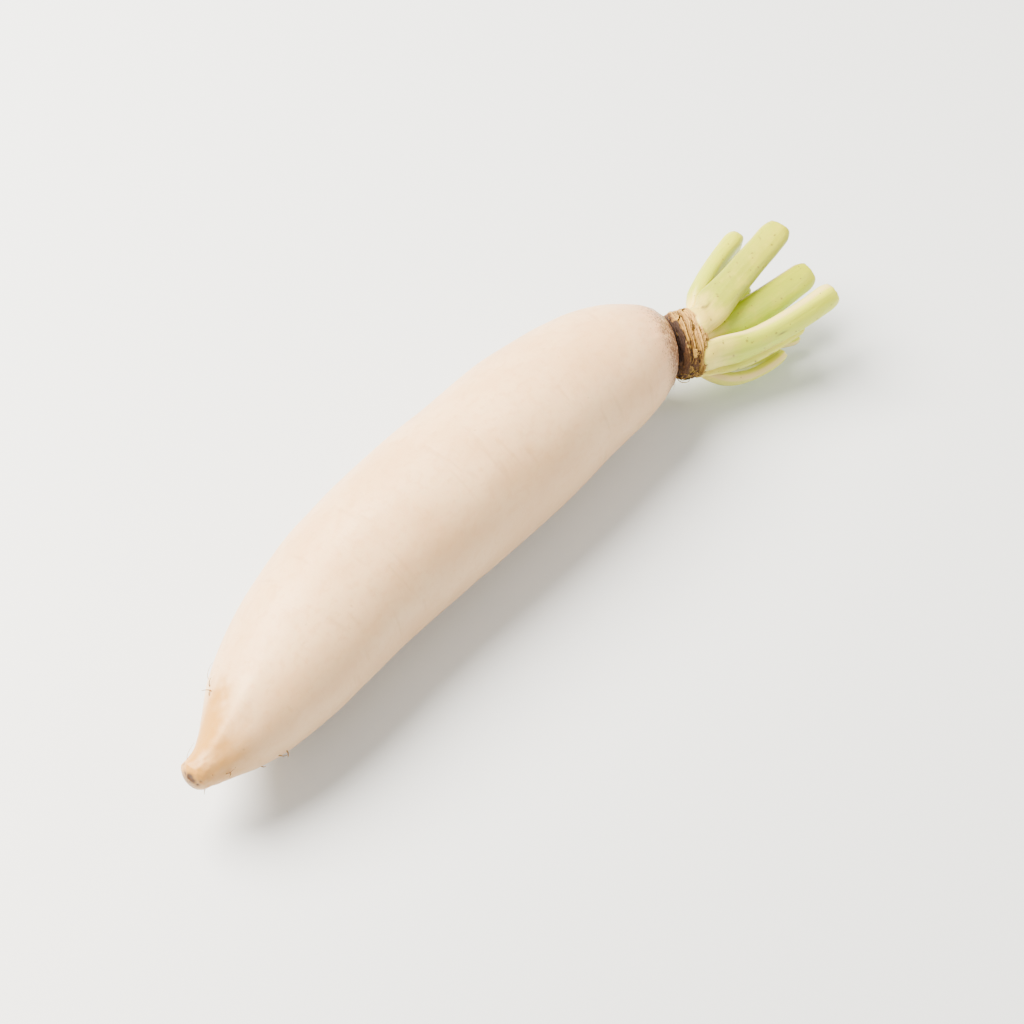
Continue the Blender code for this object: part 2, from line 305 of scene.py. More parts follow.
def root_skin_material():
    """Cream skin, mottled, with tan tip, brown pores, a grimy, speckled shoulder and painted shade along
    the underside.
    """
    material, tree, shader = new_material("root_skin", 0.36, 0.25, (0.004, 0.0024, 0.0014))
    cross_lines = grain(tree, (0.9, 9, 9), 4, 9)
    grime = calc(tree, "MULTIPLY", mark(tree, "grime"),
                 between(tree, grain(tree, (0.9, 1.6, 1.6), 4, 21), 0.30, 0.58))
    specks = calc(tree, "ADD", grain(tree, (0.45, 0.75, 0.75), 3, 13), calc(
        tree, "ADD", calc(tree, "MULTIPLY", mark(tree, "shoulder"), 0.16),
        calc(tree, "MULTIPLY", mark(tree, "grime"), 0.13)))
    colour = coats(tree, (0.90, 0.675, 0.42, 1), (
        (between(tree, grain(tree, (26, 16, 16)), 0.40, 0.66, 0.7), (0.81, 0.56, 0.31)),
        (between(tree, grain(tree, (3.2, 2.6, 2.6), 4, 5), 0.46, 0.70, 0.45), (0.77, 0.51, 0.265)),
        (between(tree, cross_lines, 0.56, 0.74, 0.32), (0.76, 0.50, 0.26)),
        (between(tree, mark(tree, "patch"), 0.0, 1.0, 0.6), (0.70, 0.44, 0.17)),
        (between(tree, mark(tree, "tip"), 0.0, 0.85, 1.0), (0.60, 0.325, 0.07)),
        # painted shade: the underside darkened to a warmer tan
        (between(tree, mark(tree, "painted_underside_shade"), 0.0, 1.0, 0.75), (0.70, 0.43, 0.215)),
        (between(tree, mark(tree, "shoulder"), 0.0, 1.0, 0.6), (0.74, 0.46, 0.27)),
        (between(tree, mark(tree, "crease"), 0.1, 0.9, 0.25), (0.60, 0.38, 0.18)),
        (between(tree, mark(tree, "pit"), 0.2, 0.9, 0.5), (0.42, 0.25, 0.10)),
        (calc(tree, "MULTIPLY", grime, 0.8), (0.24, 0.125, 0.07)),
        (calc(tree, "MULTIPLY", between(tree, specks, 0.72, 0.82), 0.85), (0.15, 0.07, 0.04)),
        (mark(tree, "scar"), (0.10, 0.05, 0.02))))
    tree.links.new(colour, shader.inputs["Base Color"])
    fine = calc(tree, "ADD", calc(tree, "MULTIPLY", cross_lines, 0.6),
                grain(tree, (0.7, 0.7, 0.7), 4, 3))
    emboss(tree, shader, fine, 0.12, 0.6)
    return material


RIDGE_TURN, RIDGE_WIDTH, RIDGE_LIFT = 93, 0.23, 0.65  # a low ridge on top, behind the knob
FACET_TURN, FACET_WIDTH, FACET_DEPTH = 56, 0.42, 0.55  # a flatter, tanned side beside it
PATCHES = (  # tan blotches: along, angle in degrees, size, strength
    (64.1, 90, 3.4, 0.5), (54.2, 89, 1.5, 0.5), (43.7, 83, 2.2, 0.6), (46.0, 80, 0.5, 0.8),
    (45.0, 76, 0.4, 0.8), (228.9, 95, 1.8, 0.4), (20.9, 60, 0.45, 1.0), (112, 70, 2.6, 0.35),
    (171, 128, 2.2, 0.35), (140, 96, 1.6, 0.3), (95, 140, 2.4, 0.35), (206, 75, 2.0, 0.35),
    (120, 230, 2.8, 0.4), (70, 300, 2.2, 0.4), (160, 330, 3.0, 0.4), (205, 200, 2.4, 0.35),
    (185, 20, 2.6, 0.35), (85, 15, 2.2, 0.35),
)
TIP_SCARS = (  # along, angle in degrees, size, depth, darkness
    (7.5, 104, 1.0, 0.9, 2.2), (7.6, 136, 0.8, 0.4, 0.8), (8.0, 165, 0.65, 0.35, 1.0),
    (9.4, 44, 0.6, 0.3, 0.8), (7.6, 60, 0.6, 0.25, 0.7), (8.9, 150, 0.5, 0.25, 0.7),
    (8.4, 250, 0.7, 0.4, 0.7), (8.0, 320, 0.6, 0.35, 0.6),
)

along = root_distances()[:, None]
angle = np.linspace(0, 2 * np.pi, ROOT_SIDES, endpoint=False)[None, :]
plain = root_skin_at(along, angle)[0]
thick = through([row[0] for row in ROOT_STATIONS], [row[3] for row in ROOT_STATIONS], along)
grown = np.stack(np.broadcast_arrays(along, thick * np.cos(angle), thick * np.sin(angle)), -1)
lift, crease, pit = root_relief(along, angle, grown)

# The shoulder folds where it turns in, and ends in an uneven lip round the neck.
shoulder = ease(along, 226, 250)
fold = lumps(grown, (9, 1.9, 1.9), 11) + 0.5 * lumps(grown, (5, 0.9, 0.9), 12)
lift = lift + 0.3 * shoulder ** 2 * fold
lip = ease(along, 245.5, 249.5) * (1 - ease(along, 250.6, 251.6))
lift = lift + lip * (0.45 * lumps(grown, 3.4, 13) + 0.22 * lumps(grown, 1.1, 14))

# The knob at the tip is lumpy, with a ridge and a facet running up from it.
knobby = (1 - ease(along, 10, 24)) * ease(along, ROOT_TIP, 8.6)
lift = lift + knobby * (0.34 * lumps(grown, 3.6, 15) + 0.16 * lumps(grown, 1.3, 16))
ridge = np.exp(-(apart(angle, math.radians(RIDGE_TURN)) / RIDGE_WIDTH) ** 2)
lift = lift + RIDGE_LIFT * ridge * ease(along, 13, 20) * (1 - ease(along, 34, 52))
facet = np.exp(-(apart(angle, math.radians(FACET_TURN)) / FACET_WIDTH) ** 2)
facet = facet * ease(along, 14, 20) * (1 - ease(along, 33, 46))
lift = lift - FACET_DEPTH * facet

# Colour comes with age and soil: a tan tip and facet, blotches and a grimy neck. The underside is painted
# warmer and darker, as painted shade.
tip = 1 - ease(along, 8, 40)
tip = tip * (0.8 + 0.25 * lumps(grown, (7, 3, 3), 20) + 0.1 * lumps(grown, (2, 1, 1), 22))
tip = np.clip(tip + 0.75 * facet * (0.8 + 0.4 * lumps(grown, 2.4, 18)), 0, 1)
# painted shade: strongest on the lower side of the root, away from the key light
painted_underside_shade = 0.5 - 0.5 * np.sin(angle + 0.3) + 0.15 * lumps(grown, (20, 9, 9), 23)
patch = np.zeros_like(lift)
for place, where, size, strength in PATCHES:
    away = plain - root_skin_at(place, math.radians(where))[0]
    away = np.linalg.norm(away, axis=-1) * (1 + 0.3 * lumps(grown, size, 19))
    patch = patch + strength * np.exp(-(away / size) ** 2)
grime = ease(along, 240.5, 248.5) * (0.5 + 0.5 * np.cos(angle - math.radians(140)))
grime = np.clip(grime + ease(along, 248.6, 250.5), 0, 1)
scar = (1 - ease(along, ROOT_TIP, 8.4)) * (0.5 + 0.5 * lumps(grown, (1.2, 0.8, 0.8), 17))
for place, where, size, depth, dark in TIP_SCARS:
    away = np.linalg.norm(plain - root_skin_at(place, math.radians(where))[0], axis=-1)
    dent = np.exp(-(away / size) ** 2)
    lift, scar = lift - depth * dent, scar + dark * dent

rings = root_skin_at(along, angle, lift)[0]
rings[..., 2] = np.maximum(rings[..., 2], 0)  # the flat of the belly
tip_point = root_skin_at(ROOT_TIP, 0.0)[0] + (0.25, 0, 0)
root = grown_mesh("root_skin", rings, {
    "grown": grown, "shoulder": shoulder, "tip": tip, "crease": crease, "pit": pit,
    "patch": np.minimum(patch, 1), "grime": grime, "painted_underside_shade": np.clip(painted_underside_shade, 0, 1),
    "scar": np.clip(scar, 0, 1)}, tip_point, rings[-1].mean(0))
root.data.materials.append(root_skin_material())
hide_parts("root")
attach(root, "root")

# ---------------------------------------------------------------------------------------------
# Rootlets: the fine hairs and short side roots that stay on after washing, most of them round
# the knob and low on the body. Each is a thin tapering strand that grew out of a pore.
# ---------------------------------------------------------------------------------------------
ROOTLETS = (  # along, angle in degrees, length, thickness, lean along the root, curl
    (39.5, 22, 5.4, 0.10, 1.1, 0.2), (36.0, 34, 3.4, 0.24, 0.6, -0.8), (34.4, 40, 3.0, 0.22, -0.7, 0.9),
    (33.0, 37, 2.2, 0.19, 0.9, 0.5), (11.5, 32, 4.2, 0.10, 1.4, 0.3), (36.6, 196, 3.3, 0.30, -0.55, 0.2),
    (34.0, 197, 3.0, 0.26, 0.6, 0.2), (29, 213, 1.8, 0.28, 0.5, 0.8), (16.7, 170, 3.4, 0.24, 0.9, 1.2),
    (18.2, 175, 2.2, 0.2, -0.9, 0.8), (13, 150, 1.6, 0.18, -0.4, 0.6), (12, 250, 3.4, 0.22, -0.6, 0.5),
    (17, 300, 4.2, 0.2, 0.2, -0.6), (30, 330, 3.6, 0.2, 0.5, 0.7), (62, 340, 4.4, 0.17, -0.4, 0.8),
    (70, 222, 2.0, 0.16, 0.4, 0.6), (95, 352, 3.4, 0.15, 0.4, -0.7), (27, 250, 2.6, 0.22, 0.4, 0.5),
    (48, 262, 2.8, 0.19, -0.5, 0.6), (83, 298, 2.4, 0.15, -0.5, 0.6),
)
ROOTED = 0.35  # how deep in the skin a rootlet starts
STRAND_RINGS, STRAND_SIDES = 22, 7


def strand(line, thickness):
    """Rings of a thin strand along a line of points, tapering to its end."""
    line = np.asarray(line, float)
    along = unit(np.gradient(line, axis=0))
    side = unit(np.cross(along, (0.31, 0.22, 0.92)))
    up = np.cross(along, side)
    turn = np.linspace(0, 2 * np.pi, STRAND_SIDES, endpoint=False)[None, :, None]
    taper = np.linspace(1, 0.25, len(line))[:, None, None] ** 0.8
    round_about = side[:, None] * np.cos(turn) + up[:, None] * np.sin(turn)
    return line[:, None] + round_about * thickness * taper


def join(name, shapes, marks, material):
    """One piece out of several closed shapes, each given as its rings."""
    made = [grown_mesh(name, rings, {"grown": rings, **marks}, rings[0].mean(0), rings[-1].mean(0))
            for rings in shapes]
    with bpy.context.temp_override(active_object=made[0], object=made[0],
                                   selected_editable_objects=made, selected_objects=made):
        bpy.ops.object.join()
    made[0].name = name
    made[0].data.materials.append(material)
    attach(made[0], "root")


def rootlet_material():
    """Dry tan hair roots."""
    material, tree, shader = new_material("rootlet", 0.7)
    colour = tint(tree, between(tree, grain(tree, (1.2, 1.2, 1.2)), 0.4, 0.65),
                  (0.36, 0.22, 0.09, 1), (0.16, 0.09, 0.04, 1))
    tree.links.new(colour, shader.inputs["Base Color"])
    return material


hairs = []
for number, (place, where, length, thickness, lean, curl) in enumerate(ROOTLETS):
    foot, out_way = root_skin_at(place, math.radians(where), -ROOTED)
    lean_way = np.array((1.0, 0.0, 0.0))
    curl_way = np.cross(out_way, lean_way)
    t = np.linspace(0, 1, STRAND_RINGS)[:, None]
    line = foot + length * (out_way * (t - 0.3 * t ** 2) + lean_way * lean * t ** 1.6
                            + curl_way * curl * 0.5 * t ** 2)
    line = line + 0.05 * length * np.sin(9 * t + number) * t * curl_way
    line[:, 2] = np.maximum(line[:, 2], thickness)
    hairs.append(strand(line, thickness))
join("rootlets", hairs, {}, rootlet_material())

# ---------------------------------------------------------------------------------------------
# The crown: a short stub of old leaf bases on the neck. Each shed leaf left a papery, ragged
# edge, so the stub is stacked rings of tan skin with dirty crevices between them, darkened further with
# painted shade.
# ---------------------------------------------------------------------------------------------
NECK_STEP, GAP = 0.5, 0.3  # the neck's end past its last station, and the gap above it
COLLAR_HEIGHT, COLLAR_RADIUS = 11.5, 12  # the radius is a round figure to measure along
COLLAR_RINGS, COLLAR_SIDES, TOP_RINGS = 150, 360, 8
COLLAR_SHAPE = ((-1.2, 8.4), (0.0, 9.2), (1.2, 10.6), (2.4, 11.6), (4.0, 12.0), (7.0, 12.3),
                (10.0, 12.4), (11.5, 11.8))  # height, radius
LEAF_SCARS = ((1.3, 0.3, 0.4, 2), (3.2, 0.7, 1.2, 2), (4.9, 1.1, 2.2, 1), (6.4, 0.7, 0.6, 2),
              (7.9, 0.8, 5.3, 1), (9.8, 0.5, 3.0, 2))  # height, wander, where, times round
LOWEST_EDGE, HIGHEST_EDGE = -1.6, 13.5  # stand for leaf scars past both ends of the stub
SHEETS = 3.2  # thin sheets between two leaf scars
CREVICE_WIDTH, CREVICE_DEPTH = 0.34, 0.95

crown_axis = heading(ROOT_STATIONS[-1][4], ROOT_DROOP)
crown_side, crown_up = across(crown_axis)
neck_middle = root_skin_at([ROOT_LAST, ROOT_LAST], [0.0, np.pi])[0].mean(0)
seat = neck_middle + crown_axis * (NECK_STEP + GAP)


def on_crown(height, angle, radius):
    """Points round the crown's axis at heights above the neck."""
    out = crown_side * np.cos(angle)[..., None] + crown_up * np.sin(angle)[..., None]
    return seat + crown_axis * np.asarray(height)[..., None] + out * np.asarray(radius)[..., None]


def collar_relief(height, angle):
    """Radius of the stub, how deep in a crevice and how near a papery edge a point lies, and
    how dark the line between two thin sheets is there: partly a brown line, partly painted shade in the
    step."""
    height, angle = np.broadcast_arrays(height, angle)
    around = np.stack((0 * height, COLLAR_RADIUS * np.cos(angle), COLLAR_RADIUS * np.sin(angle)),
                      -1)
    place = around + height[..., None] * (1, 0, 0)
    edges = []
    for number, (level, wander, where, times) in enumerate(LEAF_SCARS):
        edge = level + wander * np.sin(times * angle + where)
        edge = edge + 0.5 * lumps(around, 4.6, 20 + number)
        edges.append(edge + 0.12 * lumps(around, 1.1, 30 + number))
    edges = np.sort(np.stack(edges), 0)
    below = np.vstack((np.full_like(edges[:1], LOWEST_EDGE), edges))
    above = np.vstack((edges, np.full_like(edges[:1], HIGHEST_EDGE)))
    ring = (edges < height).sum(0)
    low = np.take_along_axis(below, ring[None], 0)[0]
    high = np.take_along_axis(above, ring[None], 0)[0]
    rise = np.clip((height - low) / (high - low), 0, 1)
    open_here = 0.45 + 0.55 * ease(lumps(around, 3.4, 50), -0.45, 0.35)
    sheet = SHEETS * rise + 0.9 * lumps(place, (2.6, 6, 6), 45)
    sheet = sheet + 0.25 * lumps(place, (1, 2, 2), 46)
    sheet = sheet - np.floor(sheet)
    radius = through(*zip(*COLLAR_SHAPE), height) - 0.7 + 0.8 * rise ** 0.8 + 0.38 * sheet
    crevice = open_here * np.exp(-(height - low) / CREVICE_WIDTH)
    radius = radius - CREVICE_DEPTH * crevice
    papery = ease(high - height, 0.8, 0.1)
    # the last value is the dark line in each step between two sheets: partly a brown line, partly painted
    # shade
    return radius, crevice, papery, np.exp(-sheet / 0.2) * (0.5 + 0.5 * open_here)


def collar_material():
    """Layered ochre skin with dark brown dirt, near-black painted shade in its crevices and at the joint
    with the neck, painted shade in the steps between its thin sheets, and pale, torn edges.
    """
    material, tree, shader = new_material("crown_skin", 0.66, 0.08, (0.0012, 0.0007, 0.0004))
    streaks = grain(tree, (0.24, 3.0, 3.0), 5, 4)
    dirt = calc(tree, "ADD", grain(tree, (1.1, 1.6, 1.6), 4, 8),
                calc(tree, "MULTIPLY", mark(tree, "dirt"), 0.42))
    colour = coats(tree, (0.40, 0.235, 0.042, 1), (
        (between(tree, grain(tree, (1.3, 7, 7), 4), 0.38, 0.62), (0.21, 0.112, 0.02)),
        (mark(tree, "blush"), (0.56, 0.35, 0.08)),
        (between(tree, streaks, 0.48, 0.58, 0.8), (0.13, 0.066, 0.02)),
        (calc(tree, "MULTIPLY", mark(tree, "papery"), 0.5), (0.62, 0.42, 0.11)),
        # dark line in each step between two thin sheets: partly a brown line, partly painted shade
        (calc(tree, "MULTIPLY", mark(tree, "sheet"), 0.9), (0.09, 0.042, 0.015)),
        (between(tree, dirt, 0.62, 0.82, 0.92), (0.085, 0.04, 0.02)),
        # painted shade: near-black in the crevices and in the joint with the neck
        (between(tree, mark(tree, "deep"), 0.12, 0.75, 0.96), (0.022, 0.010, 0.008))))
    tree.links.new(colour, shader.inputs["Base Color"])
    fine = calc(tree, "ADD", streaks, grain(tree, (0.35, 0.6, 0.6), 4, 2))
    emboss(tree, shader, fine, 0.2, 0.9)
    return material


height = np.linspace(COLLAR_SHAPE[0][0], COLLAR_HEIGHT, COLLAR_RINGS)[:, None]
angle = np.linspace(0, 2 * np.pi, COLLAR_SIDES, endpoint=False)[None, :]
radius, deep, papery, sheet = collar_relief(height, angle)
grown = np.stack(np.broadcast_arrays(height, COLLAR_RADIUS * np.cos(angle),
                                     COLLAR_RADIUS * np.sin(angle)), -1)
radius = radius + 0.12 * lumps(grown, 1.3, 42) + 0.25 * lumps(grown, (3, 4, 4), 43)

# Soil stays low on the stub and in the joint with the neck, where near-black painted shade is laid as
# well; the upper rings dry to a pale tan.
low_side = np.cos(angle - math.radians(190))
near_side = np.exp(-(apart(angle, math.radians(114)) / 0.62) ** 2)
dirt = ease(low_side, 0.1, 0.9) * (1 - ease(height, 6.4, 9.4)) + 0.35 * lumps(grown, 4, 44)
dirt = np.clip(dirt + 0.9 * (1 - ease(height, 1.4, 3.2)), 0, 1)
# painted shade: the joint with the neck is darkened to near-black through the crevice mark, less of it on
# the near side
joint = 1 - ease(height + 0.9 * lumps(grown, 1.9, 47) - 1.5 * near_side, 0.4, 1.5)
deep = np.clip(deep + joint, 0, 1)
blush = ease(height, 4.6, 6.6) * (0.5 + 0.5 * np.cos(angle - math.radians(110)))

rings = on_crown(height, angle, radius)
shrink = np.linspace(0.93, 0.1, TOP_RINGS)[:, None, None]
top_face = rings[-1].mean(0) + (rings[-1] - rings[-1].mean(0)) * shrink
rings = np.concatenate((rings, top_face))
marks = {"deep": deep, "papery": papery, "sheet": sheet, "dirt": dirt, "blush": blush,
         "grown": grown}
for key, value in marks.items():
    value = np.broadcast_to(value, grown.shape[:2] + value.shape[2:])
    marks[key] = np.concatenate((value, np.repeat(value[-1:], TOP_RINGS, 0)))
collar = grown_mesh("crown_rings", rings, marks, rings[0].mean(0), rings[-1].mean(0))
collar.data.materials.append(collar_material())
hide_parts("crown_collar")
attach(collar, "root")

# ---------------------------------------------------------------------------------------------
# Flakes and fibres of the crown: dry scraps of old leaf base that peel off the rings, and the
# stringy veins left when a leaf tore away. Both hang on by one edge or by both ends.
# ---------------------------------------------------------------------------------------------
FLAKES = (  # height, angle in degrees, width, length, stand-off, curl
    (2.4, 205, 5.0, 2.6, 1.1, 0.9), (3.6, 182, 4.0, 2.2, 0.9, 1.2), (1.2, 228, 4.6, 2.4, 1.3, 0.8),
    (6.2, 196, 3.6, 2.4, 0.9, 1.0), (8.2, 128, 5.4, 2.0, 0.6, 0.6), (5.0, 96, 4.8, 2.0, 0.6, 0.8),
    (2.2, 70, 4.4, 2.2, 0.8, 0.9), (3.0, 20, 5.0, 2.2, 0.9, 0.8), (1.8, 320, 4.4, 2.2, 0.9, 0.8),
    (4.4, 280, 5.2, 2.6, 1.0, 1.0), (7.0, 250, 4.4, 2.2, 0.8, 0.9), (7.6, 330, 4.8, 2.2, 0.7, 0.9),
    (6.0, 45, 4.0, 2.0, 0.7, 0.8), (8.6, 168, 3.8, 2.0, 0.8, 0.8), (4.8, 148, 3.6, 1.8, 0.7, 0.9),
)
FIBRES = (  # from (height, angle), to (height, angle), how far it stands off, thickness
    ((0.6, 214), (6.0, 206), 2.6, 0.2), ((1.4, 222), (5.2, 214), 1.5, 0.16),
    ((2.4, 198), (7.4, 190), 1.0, 0.17), ((1.4, 204), (5.4, 176), 0.9, 0.13),
    ((5.6, 202), (8.6, 180), 0.9, 0.14), ((4.2, 186), (7.8, 172), 0.8, 0.12),
    ((2.8, 168), (6.0, 152), 0.6, 0.11), ((3.0, 132), (5.6, 118), 0.55, 0.1),
    ((2.6, 100), (5.2, 90), 0.6, 0.11), ((5.0, 176), (9.2, 166), 0.7, 0.14),
    ((1.0, 250), (5.0, 262), 1.0, 0.15), ((0.6, 300), (4.6, 312), 0.9, 0.15),
    ((2.0, 0), (6.4, 12), 0.7, 0.14), ((0.8, 40), (4.0, 54), 0.8, 0.13),
)
FREE_FIBRES = (  # height, angle, length, lean, thickness
    (1.0, 232, 5.5, -1.2, 0.12), (1.6, 226, 4.2, -0.8, 0.1), (2.2, 240, 3.4, -0.3, 0.12),
    (0.8, 108, 2.6, -0.6, 0.1), (1.2, 60, 3.0, -0.5, 0.11), (2.8, 290, 3.2, 0.5, 0.12),
)
FLAKE_COLUMNS, FLAKE_ROWS, FLAKE_THICKNESS, FIBRE_RINGS = 15, 9, 0.22, 26
SCRAP_MARKS = {"deep": 0.0, "papery": 0.6, "sheet": 0.0, "dirt": 0.3, "blush": 0.4}


def flake(height, where, width, length, stand_off, curl, number):
    """Rings of a thin torn scrap on the stub, rooted in a leaf scar and curling away from it."""
    across_it = np.linspace(-1, 1, FLAKE_COLUMNS)[None, :]
    down_it = np.linspace(0, 1, FLAKE_ROWS)[:, None]
    ragged = 1 + 0.28 * np.sin(5 * across_it + number) + 0.18 * np.sin(13 * across_it + 2 * number)
    level = height + length * down_it * ragged * (1 - 0.35 * across_it ** 2)
    turn = math.radians(where) + across_it * width / (2 * COLLAR_RADIUS) * (1 - 0.15 * down_it)
    base = collar_relief(level, turn)[0].mean() - 0.15
    off = base + stand_off * down_it ** 1.3
    off = off + 0.25 * curl * np.sin(3 * across_it + number) * down_it
    half = FLAKE_THICKNESS / 2 * (1 - 0.5 * down_it)
    outside, inside = (on_crown(level, turn, off + way * half) for way in (1, -1))
    return np.concatenate((outside, inside[:, ::-1]), 1)


scraps = [flake(*row, number) for number, row in enumerate(FLAKES)]
for (low, start), (high, stop), off, thickness in FIBRES:
    t = np.linspace(0, 1, FIBRE_RINGS)
    level = low + (high - low) * t
    turn = np.radians(start + (stop - start) * t) + 0.09 * np.sin(8 * t + start)
    line = on_crown(level, turn, through(*zip(*COLLAR_SHAPE), level) - 0.5
                    + off * np.sin(np.pi * t) ** 0.7)
    scraps.append(strand(line, thickness))
for level, where, length, lean, thickness in FREE_FIBRES:
    t = np.linspace(0, 1, STRAND_RINGS)
    turn = math.radians(where) + 0.1 * np.sin(4 * t + where) * t
    line = on_crown(level + lean * length * 0.5 * t ** 2, turn,
                    through(*zip(*COLLAR_SHAPE), level) - 0.6 + length * t)
    line[:, 2] -= 0.35 * length * t ** 2
    scraps.append(strand(line, thickness))
join("crown_flakes", scraps, SCRAP_MARKS, collar.data.materials[0])

# ---------------------------------------------------------------------------------------------
# The leaf stalks: nine juicy, ribbed leaf bases that clasp the crown and were cut across when
# the leaves came off. Each is white at its foot, turns green upwards, and is round outside and
# grooved inside. The cut face shows pale flesh with a row of veins.
# ---------------------------------------------------------------------------------------------
# name, sector (from, to, inner, outer), cut end from the collar's top, widths, thickness at the
# foot and at the cut, how it follows the crown's axis, bulge, green (0 pale to 1 bright), tone
# (a brightness per stalk; on stalk 2 it also holds painted light)
STALKS = (
    ("leaf_stalk_1", (-33, 56, 7.0, 12.2), (41.3, 29.3, 18.9), (18.6, 12.7, 11.6), (5.9, 7.1),
     -0.07, -2, 0.75, 0.66),
    ("leaf_stalk_2", (-112, -36, 7.0, 12.2), (50.6, -0.5, 13.3), (16.4, 10.3, 10.3), (5.3, 9.0),
     0.96, 1.3, 0.75, 1.2),
    ("leaf_stalk_3", (-160, -127, 7.0, 12.2), (32.6, -6.0, -8.1), (8.0, 8.2, 8.4), (6.8, 5.4),
     0.96, 11.7, 0.2, 1.0),
    ("leaf_stalk_4", (163, 197, 4.0, 12.2), (42.6, 3.5, -11.3), (9.0, 8.4, 8.8), (6.4, 6.0),
     0.8, 0, 0.85, 1.0),
    ("leaf_stalk_5", (111, 160, 4.0, 12.2), (32.0, 30.0, -2.6), (11.0, 9.6, 9.2), (6.6, 6.0),
     0.4, 0, 0.6, 0.85),
    ("leaf_stalk_6", (59, 108, 7.0, 12.2), (29.5, 37.0, 8.2), (12.0, 13.4, 9.6), (8.6, 8.4),
     -0.25, 0, 0.8, 1.0),
    ("leaf_stalk_7", (-126, -113.6, 5.0, 12.0), (39.9, -3.1, 0.5), (2.9, 3.5, 4.2), (9.1, 4.6),
     0.48, 4.5, 0.15, 1.15),
    ("leaf_stalk_8", (-80, 14, 0.8, 6.6), (48.5, 14.6, 8.9), (8.6, 12.2, 10.6), (6.6, 6.0),
     0.4, 0, 1.0, 0.88),
    ("leaf_stalk_9", (20, 93, 1.6, 6.6), (26.0, 16.8, 2.6), (5.6, 6.6, 5.6), (5.0, 4.6),
     0.2, 0, 0.8, 0.9),
)
STALK_RINGS, STALK_SIDES, CUT_RINGS = 150, 96, 14
STALK_TURN = -np.linspace(0, 2 * np.pi, STALK_SIDES, endpoint=False)  # from its outer side
STALK_GROOVE, STALK_ROUNDING = 1.0, 0.7
BEND_AT = 0.4  # how far up, as a share of its length, a stalk bends
FOOT_SWING, FOOT_BLEND = 0.3, 0.35  # shares over which the foot's lie and outline are lost
END_TAPER = 3.6  # how far below the cut a stalk starts to round off
SWELL, SWELL_HEIGHT = 1.0, 6.5  # how far its foot swells out, and up to where
SHEATH = ((2.8, -0.5), (2.5, 0.1), (2.0, 0.5), (1.3, 0.8), (0.6, 0.95))  # depth, spread out
CUT_RIM = ((0.35, 0.6, 0.4), (1.0, 0.25, 1.0))  # shares of the rounding in and on, share cut
PALE_GREEN, BRIGHT_GREEN = np.array((0.65, 0.66, 0.12)), np.array((0.45, 0.60, 0.002))
FOOT_CREAM = np.array((0.88, 0.75, 0.17))


def signed_power(value, exponent):
    """Power that keeps the sign, which squares off a circle's corners."""
    return np.copysign(np.abs(value) ** exponent, value)


def foot_outline(sector):
    """Outline of a stalk's foot about its own middle: sideways and outward."""
    low, high, inner, outer = sector
    spare = math.degrees(GAP / (inner + outer))
    half = math.radians(high - low - 2 * spare) / 2
    middle, depth = (inner + outer) / 2, (outer - inner) / 2
    around = half * signed_power(np.sin(STALK_TURN), 0.7)
    reach = middle + depth * signed_power(np.cos(STALK_TURN), 0.7)
    return np.stack((reach * np.sin(around), reach * np.cos(around) - middle), -1)


def free_outline(width, thickness):
    """Outline of a stalk above its foot: round outside, grooved inside."""
    way = np.cos(STALK_TURN)
    outward = thickness / 2 * way + np.where(way < 0, STALK_GROOVE * way ** 4, 0)
    return np.stack((width / 2 * signed_power(np.sin(STALK_TURN), 0.9), outward), -1)


def stalk_course(sector, reach, follow, bulge):
    """A stalk's way outward, and the three points that its middle line runs by."""
    top = seat + crown_axis * (COLLAR_HEIGHT + GAP)
    where = math.radians((sector[0] + sector[1]) / 2)
    outward = crown_up * math.cos(where) + crown_side * math.sin(where)
    foot = top + outward * (sector[2] + sector[3]) / 2
    end = top + crown_axis * reach[0] + crown_side * reach[1] + crown_up * reach[2]
    leaving = unit(unit(end - foot) * (1 - follow) + crown_axis * follow)
    bend = foot + leaving * np.linalg.norm(end - foot) * BEND_AT + outward * bulge
    return outward, foot, bend, end


